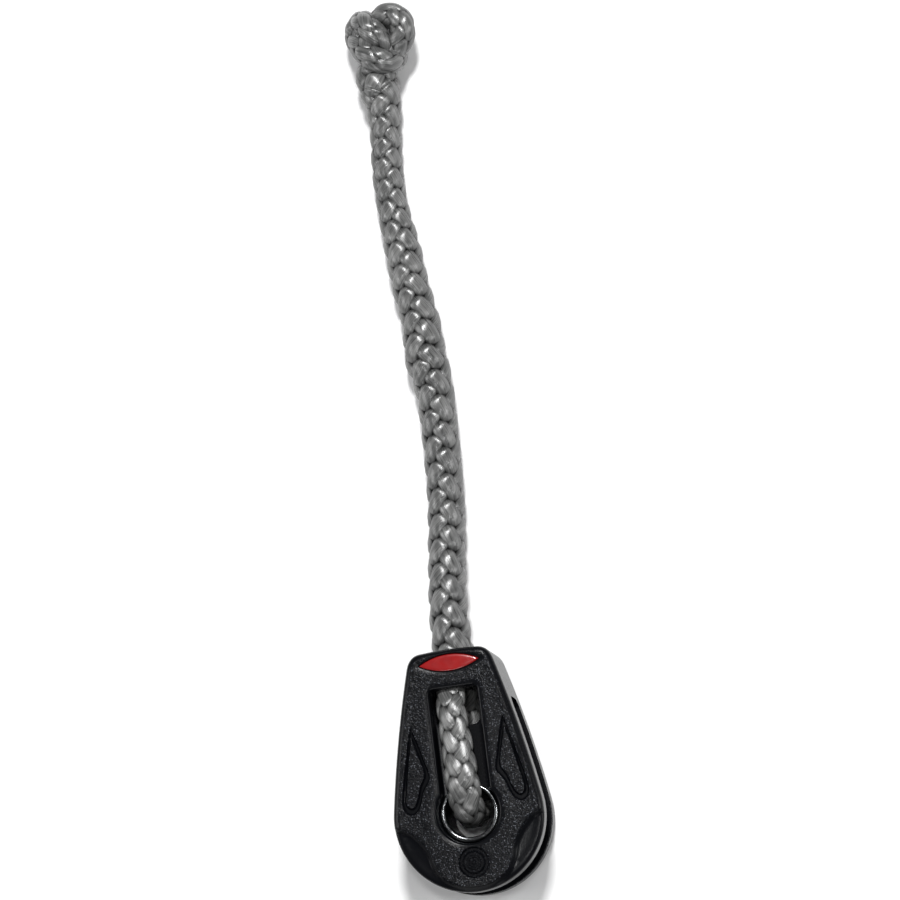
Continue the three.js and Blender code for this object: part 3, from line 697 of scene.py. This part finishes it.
# how grained each point of the moulding is
P = np.array([v.co[:] for v in cheek.data.vertices])
flat = P[:, :2]
grain = smoothstep(0.55, 1.1, -sdf(flat, OUT)) * smoothstep(0.5, 0.95, sdf(flat, KEY)) * smoothstep(0.25, 0.6, sdf(flat, LENS))
for outer, inner in LEAVES:
    g = np.minimum(-sdf(flat, outer), sdf(flat, inner))
    grain *= 1 - smoothstep(-0.12, 0.12, g)
grain *= 1 - smoothstep(-0.05, 0.2, sdf(flat, REGION))
grain *= 1 - 0.85 * (1 - smoothstep(2.3, 2.6, np.hypot(flat[:, 0], flat[:, 1] - ROUNDEL_V)))
grain *= P[:, 2] > 6.0
a = cheek.data.attributes.new("grain", "FLOAT", "POINT")
a.data.foreach_set("value", grain.astype(np.float32))

rear = bpy.data.objects.new("cheek_rear_shell", cheek.data.copy())
bpy.context.scene.collection.objects.link(rear)
finish_mesh(cheek, TO_ROW)
finish_mesh(rear, TURN)

# --------------------------------------------------------------------- the hub
def rolled(n=12):
    """One rolled end of the hub: out of the bore, over the top and down to the channel floor."""
    t = np.linspace(math.pi, -0.30, n)
    top = [(4.30 + 0.46 * math.cos(x), 4.36 + 0.40 * math.sin(x)) for x in t]
    return [(4.35, 4.22)] + [(4.55, 4.21)] + top[::-1]


half = rolled()
hub_profile = half + [(3.84, w) for w in (4.2, 2.0, 0.0, -2.0, -4.2)] + [(r, -w) for r, w in half[::-1]] + [(4.35, w) for w in (-3.0, -1.0, 1.0, 3.0)]
v, f = ring_solid(hub_profile, 144)
hub = make_object("hub_sleeve", v / MM * MM, f)
bm = bmesh.new(); bm.from_mesh(hub.data); bmesh.ops.recalc_face_normals(bm, faces=bm.faces[:]); bm.to_mesh(hub.data); bm.free()
hub.data.transform(Matrix.Scale(1 / MM, 4))
finish_mesh(hub, TO_ROW, sharp=50)

# ------------------------------------------------------------------ the sheave
gc = 7.6 + 2.7
t0 = math.acos((gc - 9.93) / 2.7)
sheave_profile = [(6.4, -3.0), (6.48, -3.1), (7.3, -3.1), (7.45, -2.98), (9.0, -2.98), (9.15, -3.1), (9.8, -3.1), (9.93, -3.05), (10.0, -2.92), (9.99, -2.78)]
sheave_profile += [(gc - 2.7 * math.cos(t), 2.7 * math.sin(t)) for t in np.linspace(-t0, t0, 36)]
sheave_profile += [(r, -w) for r, w in [(9.99, -2.78), (10.0, -2.92), (9.93, -3.05), (9.8, -3.1), (9.15, -3.1), (9.0, -2.98), (7.45, -2.98), (7.3, -3.1), (6.48, -3.1), (6.4, -3.0)]]
sheave_profile += [(6.4, 0.5), (6.33, 0.42), (4.85, 0.4), (4.76, 0.32), (4.76, -0.32), (4.85, -0.4), (6.33, -0.42), (6.4, -0.5)]
v, f = ring_solid(sheave_profile, 160)
sheave = make_object("sheave_wheel", v, f)
bm = bmesh.new(); bm.from_mesh(sheave.data); bmesh.ops.recalc_face_normals(bm, faces=bm.faces[:]); bm.to_mesh(sheave.data); bm.free()
sheave.data.transform(Matrix.Scale(1 / MM, 4))
finish_mesh(sheave, TO_ROW, sharp=50)

# ------------------------------------------------------------------- the inlays
def inlay_object(name, matrix):
    """A glossy domed lens with a rounded rim."""
    base = lens_curve(BADGE_LEN, BADGE_H, 0.1)
    rings = []
    for d, w in ((0.0, 6.3), (0.0, 6.56), (0.03, 6.64), (0.1, 6.70), (0.2, 6.735), (0.45, 6.76), (0.75, 6.775), (1.05, 6.78)):
        L, Hh = BADGE_LEN - 2 * d * 2.2, BADGE_H - 2 * d
        p = base.copy()
        p[:, 0] *= L / BADGE_LEN
        p[:, 1] = BADGE_V + (p[:, 1] - BADGE_V) * Hh / BADGE_H
        rings.append(np.hstack([p, np.full((len(p), 1), w)]))
    o = loft(name, rings)
    finish_mesh(o, matrix, sharp=50)
    return o


badge_f = inlay_object("badge_front_lens", TO_ROW)
badge_r = inlay_object("badge_rear_lens", TURN)

# -------------------------------------------------------------------- the balls
BALL_R, PITCH = 0.97, (4.35 + 6.4) / 2
balls = []
for row, w, turn in (("a", 1.45, 0.0), ("b", -1.45, 0.5)):
    for i in range(16):
        t = (i + turn) / 16 * 2 * math.pi
        bm = bmesh.new()
        bmesh.ops.create_icosphere(bm, subdivisions=3, radius=BALL_R)
        # the faint flash line that moulding leaves about the middle
        for q in bm.verts:
            z = q.co.z / BALL_R
            q.co *= 1 + 0.006 * math.exp(-(z / 0.05) ** 2)
        me = bpy.data.meshes.new(f"bead_{row}_{i + 1:02d}")
        bm.to_mesh(me)
        bm.free()
        me.transform(Matrix.Rotation(0.7 * i + w, 4, Vector((0.3, 1, 0.2)).normalized()))
        me.transform(Matrix.Translation((PITCH * math.cos(t), PITCH * math.sin(t), w)))
        o = bpy.data.objects.new(me.name, me)
        bpy.context.scene.collection.objects.link(o)
        finish_mesh(o, TO_ROW, sharp=80)
        balls.append((o, f"ball_{row}_{i + 1:02d}", f"ball_row_{row}"))


# ------------------------------------------------------------------- materials
def material(name):
    m = bpy.data.materials.new(name)
    m.use_nodes = True
    nt = m.node_tree
    nt.nodes.clear()
    out = nt.nodes.new("ShaderNodeOutputMaterial")
    bsdf = nt.nodes.new("ShaderNodeBsdfPrincipled")
    nt.links.new(bsdf.outputs[0], out.inputs[0])
    return m, nt, bsdf


def node(nt, kind, **inputs):
    n = nt.nodes.new(kind)
    for key, value in inputs.items():
        if key in n.inputs:
            n.inputs[key].default_value = value
        else:
            setattr(n, key, value)
    return n


def noise(nt, coord, scale, detail=2.0, rough=0.5):
    n = nt.nodes.new("ShaderNodeTexNoise")
    n.inputs["Scale"].default_value = scale
    n.inputs["Detail"].default_value = detail
    n.inputs["Roughness"].default_value = rough
    nt.links.new(coord, n.inputs["Vector"])
    return n.outputs["Fac"]


def remap(nt, value, a, b, c, d, smooth=False):
    n = nt.nodes.new("ShaderNodeMapRange")
    if smooth:
        n.interpolation_type = "SMOOTHSTEP"
    for k, x in zip((1, 2, 3, 4), (a, b, c, d)):
        n.inputs[k].default_value = x
    nt.links.new(value, n.inputs[0])
    return n.outputs[0]


def math_node(nt, op, a, b=None):
    n = nt.nodes.new("ShaderNodeMath")
    n.operation = op
    for k, x in ((0, a), (1, b)):
        if x is None:
            continue
        if isinstance(x, (int, float)):
            n.inputs[k].default_value = x
        else:
            nt.links.new(x, n.inputs[k])
    return n.outputs[0]


def ramp(nt, value, stops):
    n = nt.nodes.new("ShaderNodeValToRGB")
    while len(n.color_ramp.elements) < len(stops):
        n.color_ramp.elements.new(0.5)
    for el, (pos, col) in zip(n.color_ramp.elements, stops):
        el.position = pos
        el.color = (*col, 1)
    nt.links.new(value, n.inputs[0])
    return n.outputs[0]


def bump(nt, heightv, strength, distance, normal=None):
    n = nt.nodes.new("ShaderNodeBump")
    n.inputs["Strength"].default_value = strength
    n.inputs["Distance"].default_value = distance
    nt.links.new(heightv, n.inputs["Height"])
    if normal is not None:
        nt.links.new(normal, n.inputs["Normal"])
    return n.outputs[0]


def coords(nt):
    return nt.nodes.new("ShaderNodeTexCoord").outputs["Object"]


# cheeks: glass-filled black nylon, spark-eroded grain with painted glint specks, smooth at edges, channel and
# grooves
m_cheek, nt, b = material("cheek_nylon")
co = coords(nt)
gr = nt.nodes.new("ShaderNodeAttribute")
gr.attribute_name = "grain"
gr = gr.outputs["Fac"]
fine, mid, broad = noise(nt, co, 4200, 1.5), noise(nt, co, 2000, 2.0), noise(nt, co, 160, 3.0)
grit = math_node(nt, "ADD", math_node(nt, "MULTIPLY", fine, 0.7), math_node(nt, "MULTIPLY", mid, 0.6))
grit = math_node(nt, "MULTIPLY", grit, math_node(nt, "ADD", math_node(nt, "MULTIPLY", gr, 0.92), 0.08))
nt.links.new(bump(nt, grit, 0.65, 0.00016), b.inputs["Normal"])
# painted glints: bright specks on the grained face stand in for sparkle off the grain
painted_glint = remap(nt, noise(nt, co, 4600, 0.5), 0.63, 0.73, 0.0, 1.0, True)
painted_glint = math_node(nt, "MULTIPLY", painted_glint, gr)
tone = ramp(nt, broad, [(0.3, (0.0016, 0.0018, 0.0026)), (0.7, (0.0026, 0.0029, 0.0040))])
mix = nt.nodes.new("ShaderNodeMix"); mix.data_type = "RGBA"
nt.links.new(painted_glint, mix.inputs[0]); nt.links.new(tone, mix.inputs[6])
mix.inputs[7].default_value = (0.070, 0.075, 0.086, 1)
nt.links.new(mix.outputs[2], b.inputs["Base Color"])
nt.links.new(remap(nt, gr, 0, 1, 0.26, 0.28), b.inputs["Roughness"])
b.inputs["Specular IOR Level"].default_value = 0.14

# hub: polished stainless with fine turning lines, and a painted shade colour over the middle of the sleeve for the
# inside of the bore
m_steel, nt, b = material("hub_stainless")
co = coords(nt)
b.inputs["Metallic"].default_value = 1.0
hz = nt.nodes.new("ShaderNodeSeparateXYZ")
nt.links.new(co, hz.inputs[0])
# painted shade: within 5.6 mm of the mid-plane the sleeve takes a dark colour standing in for shade inside the bore;
# the polished colour only beyond 6.2 mm
hub_ends_unshaded = remap(nt, math_node(nt, "ABSOLUTE", math_node(nt, "SUBTRACT", hz.outputs[2], 0.0068)), 0.0056, 0.0062, 0.0, 1.0, True)
polished = ramp(nt, noise(nt, co, 700, 3.0), [(0.3, (0.60, 0.61, 0.63)), (0.7, (0.80, 0.81, 0.83))])
hm = nt.nodes.new("ShaderNodeMix"); hm.data_type = "RGBA"
nt.links.new(hub_ends_unshaded, hm.inputs[0]); nt.links.new(polished, hm.inputs[7])
hm.inputs[6].default_value = (0.16, 0.165, 0.17, 1)
nt.links.new(hm.outputs[2], b.inputs["Base Color"])
nt.links.new(remap(nt, noise(nt, co, 1500, 2.0), 0.3, 0.7, 0.13, 0.26), b.inputs["Roughness"])
nt.links.new(bump(nt, noise(nt, co, 2600, 2.0), 0.12, 0.00006), b.inputs["Normal"])

# sheave: black acetal, lightly polished by the line in the groove
m_sheave, nt, b = material("sheave_acetal")
co = coords(nt)
nt.links.new(ramp(nt, noise(nt, co, 300, 3.0), [(0.3, (0.016, 0.017, 0.019)), (0.7, (0.028, 0.029, 0.032))]), b.inputs["Base Color"])
nt.links.new(remap(nt, noise(nt, co, 900, 3.0), 0.3, 0.7, 0.28, 0.42), b.inputs["Roughness"])
nt.links.new(bump(nt, noise(nt, co, 4200, 2.0), 0.2, 0.00008), b.inputs["Normal"])

# balls: natural acetal
m_ball, nt, b = material("ball_acetal")
co = coords(nt)
nt.links.new(ramp(nt, noise(nt, co, 900, 2.0), [(0.3, (0.74, 0.73, 0.68)), (0.7, (0.84, 0.83, 0.79))]), b.inputs["Base Color"])
nt.links.new(remap(nt, noise(nt, co, 1800, 2.0), 0.3, 0.7, 0.2, 0.32), b.inputs["Roughness"])
b.inputs["Subsurface Weight"].default_value = 0.15
b.inputs["Subsurface Radius"].default_value = (0.0006, 0.0005, 0.0004)

# inlays: glossy red
m_red, nt, b = material("inlay_red")
co = coords(nt)
nt.links.new(ramp(nt, noise(nt, co, 420, 3.0), [(0.3, (0.22, 0.005, 0.006)), (0.7, (0.28, 0.008, 0.008))]), b.inputs["Base Color"])
nt.links.new(remap(nt, noise(nt, co, 800, 2.0), 0.3, 0.7, 0.16, 0.26), b.inputs["Roughness"])
nt.links.new(bump(nt, noise(nt, co, 500, 1.0), 0.1, 0.0001), b.inputs["Normal"])
b.inputs["Coat Weight"].default_value = 0.6
b.inputs["Coat Roughness"].default_value = 0.08

# rope: silver-grey fibre, each yarn made of filaments that run along it; painted shade darkens the gaps, tucked
# strand ends and strand edges, and a painted highlight brightens the crowns
m_rope, nt, b = material("rope_fibre")
uv = nt.nodes.new("ShaderNodeUVMap"); uv.uv_map = "UVMap"
sep = nt.nodes.new("ShaderNodeSeparateXYZ")
nt.links.new(uv.outputs[0], sep.inputs[0])
strand = nt.nodes.new("ShaderNodeAttribute"); strand.attribute_name = "strand"
lay = math_node(nt, "ADD", math_node(nt, "MULTIPLY", sep.outputs[1], 1.0), math_node(nt, "MULTIPLY", sep.outputs[0], 0.10))
com = nt.nodes.new("ShaderNodeCombineXYZ")
nt.links.new(math_node(nt, "MULTIPLY", sep.outputs[0], 0.30), com.inputs[0])
nt.links.new(math_node(nt, "MULTIPLY", lay, 13.0), com.inputs[1])
nt.links.new(math_node(nt, "MULTIPLY", strand.outputs["Fac"], 20.0), com.inputs[2])
hair = noise(nt, com.outputs[0], 1.0, 3.0, 0.6)
com2 = nt.nodes.new("ShaderNodeCombineXYZ")
nt.links.new(math_node(nt, "MULTIPLY", sep.outputs[0], 0.22), com2.inputs[0])
nt.links.new(math_node(nt, "MULTIPLY", lay, 2.6), com2.inputs[1])
nt.links.new(math_node(nt, "MULTIPLY", strand.outputs["Fac"], 9.0), com2.inputs[2])
bundle = noise(nt, com2.outputs[0], 1.0, 2.0, 0.5)
cloud = noise(nt, coords(nt), 320, 3.0)
val = math_node(nt, "ADD", math_node(nt, "MULTIPLY", hair, 0.60), math_node(nt, "MULTIPLY", bundle, 0.35))
val = math_node(nt, "ADD", val, math_node(nt, "MULTIPLY", cloud, 0.25))
shade = ramp(nt, val, [(0.36, (0.022, 0.023, 0.023)), (0.58, (0.058, 0.059, 0.058)), (0.80, (0.165, 0.165, 0.162))])
painted_shade = nt.nodes.new("ShaderNodeAttribute"); painted_shade.attribute_name = "painted_shade"
# painted shade and highlight: near black in the gaps, brighter than the fibre tone on the crowns
shade_ramp_painted = ramp(nt, painted_shade.outputs["Fac"], [(0.0, (0.02, 0.02, 0.02)), (0.40, (0.10, 0.10, 0.10)), (0.62, (0.75, 0.75, 0.75)), (0.85, (1.25, 1.25, 1.25))])
mul = nt.nodes.new("ShaderNodeMix"); mul.data_type = "RGBA"; mul.blend_type = "MULTIPLY"
mul.inputs[0].default_value = 1.0
nt.links.new(shade, mul.inputs[6]); nt.links.new(shade_ramp_painted, mul.inputs[7])
nt.links.new(mul.outputs[2], b.inputs["Base Color"])
nt.links.new(remap(nt, hair, 0.3, 0.7, 0.24, 0.38), b.inputs["Roughness"])
hsum = math_node(nt, "ADD", math_node(nt, "MULTIPLY", hair, 0.6), math_node(nt, "MULTIPLY", bundle, 0.8))
nt.links.new(bump(nt, hsum, 0.6, 0.00014), b.inputs["Normal"])
# the painted shade value also turns the specular down in the gaps
nt.links.new(remap(nt, painted_shade.outputs["Fac"], 0.35, 0.75, 0.02, 1.0), b.inputs["Specular IOR Level"])
b.inputs["Anisotropic"].default_value = 0.75
b.inputs["Anisotropic Rotation"].default_value = 0.25
tan = nt.nodes.new("ShaderNodeTangent"); tan.direction_type = "UV_MAP"; tan.uv_map = "UVMap"
nt.links.new(tan.outputs[0], b.inputs["Tangent"])

# floor: a plain pale sheet
m_floor, nt, b = material("floor_pale")
co = coords(nt)
nt.links.new(ramp(nt, noise(nt, co, 30, 2.0), [(0.3, (0.86, 0.86, 0.86)), (0.7, (0.88, 0.88, 0.88))]), b.inputs["Base Color"])
b.inputs["Roughness"].default_value = 0.75


def dress(o, m):
    o.data.materials.clear()
    o.data.materials.append(m)


# ------------------------------------------------------------- bodies and nodes
for o, n, m, s in ((cheek, "cheek_front", m_cheek, "cheek_plastic"), (rear, "cheek_rear", m_cheek, "cheek_plastic"),
                   (hub, "hub_tube", m_steel, "hub_steel"), (badge_f, "badge_front", m_red, "badge_red"),
                   (badge_r, "badge_rear", m_red, "badge_red"), (eye, "strop_eye", m_rope, "rope_fibre"),
                   (strop, "strop", m_rope, "rope_fibre"), (knot, "strop_knot", m_rope, "rope_fibre")):
    dress(o, m)
    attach(o, "block")
    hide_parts(n)
dress(sheave, m_sheave)
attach(sheave, "sheave")
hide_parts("sheave")
for o, n, body in balls:
    dress(o, m_ball)
    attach(o, body)
    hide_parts(n)

# -------------------------------------------------------------- floor and light
floor = make_object("floor", [(-3000, -3000, -0.02), (3000, -3000, -0.02), (3000, 3000, -0.02), (-3000, 3000, -0.02)], [(0, 1, 2, 3)], smooth=False)
floor.data.materials.append(m_floor)

world = bpy.data.worlds.new("studio")
bpy.context.scene.world = world
world.use_nodes = True
world.node_tree.nodes["Background"].inputs[0].default_value = (0.97, 0.98, 1.0, 1)
world.node_tree.nodes["Background"].inputs[1].default_value = 0.12


def area(name, loc, target, size, power, color=(1, 1, 1)):
    d = bpy.data.lights.new(name, "AREA")
    d.shape = "RECTANGLE"
    d.size, d.size_y = size
    d.energy = power
    d.color = color
    o = bpy.data.objects.new(name, d)
    bpy.context.scene.collection.objects.link(o)
    o.location = loc
    o.rotation_mode = "QUATERNION"
    o.rotation_quaternion = (Vector(target) - Vector(loc)).to_track_quat("-Z", "Y")
    return o


# a key above the head end, three soft boxes, and a small one near the block that rakes the grain of the cheek from its right side
area("key", (0.12, 0.50, 0.80), (0, 0.05, 0), (0.13, 0.13), 8.2)
area("box_right", (0.80, 0.0, 0.50), (0, 0.05, 0), (0.4, 0.4), 2.5)
area("box_left", (-0.80, 0.1, 0.50), (0, 0.05, 0), (0.4, 0.4), 2.6)
area("box_front", (-0.10, -0.85, 0.50), (0, 0.04, 0), (0.5, 0.3), 2.2)
area("grain", (0.028, 0.0060, 0.262), (0.012, -0.008, 0.013), (0.022, 0.022), 0.10)

bpy.context.scene.view_settings.view_transform = "Standard"
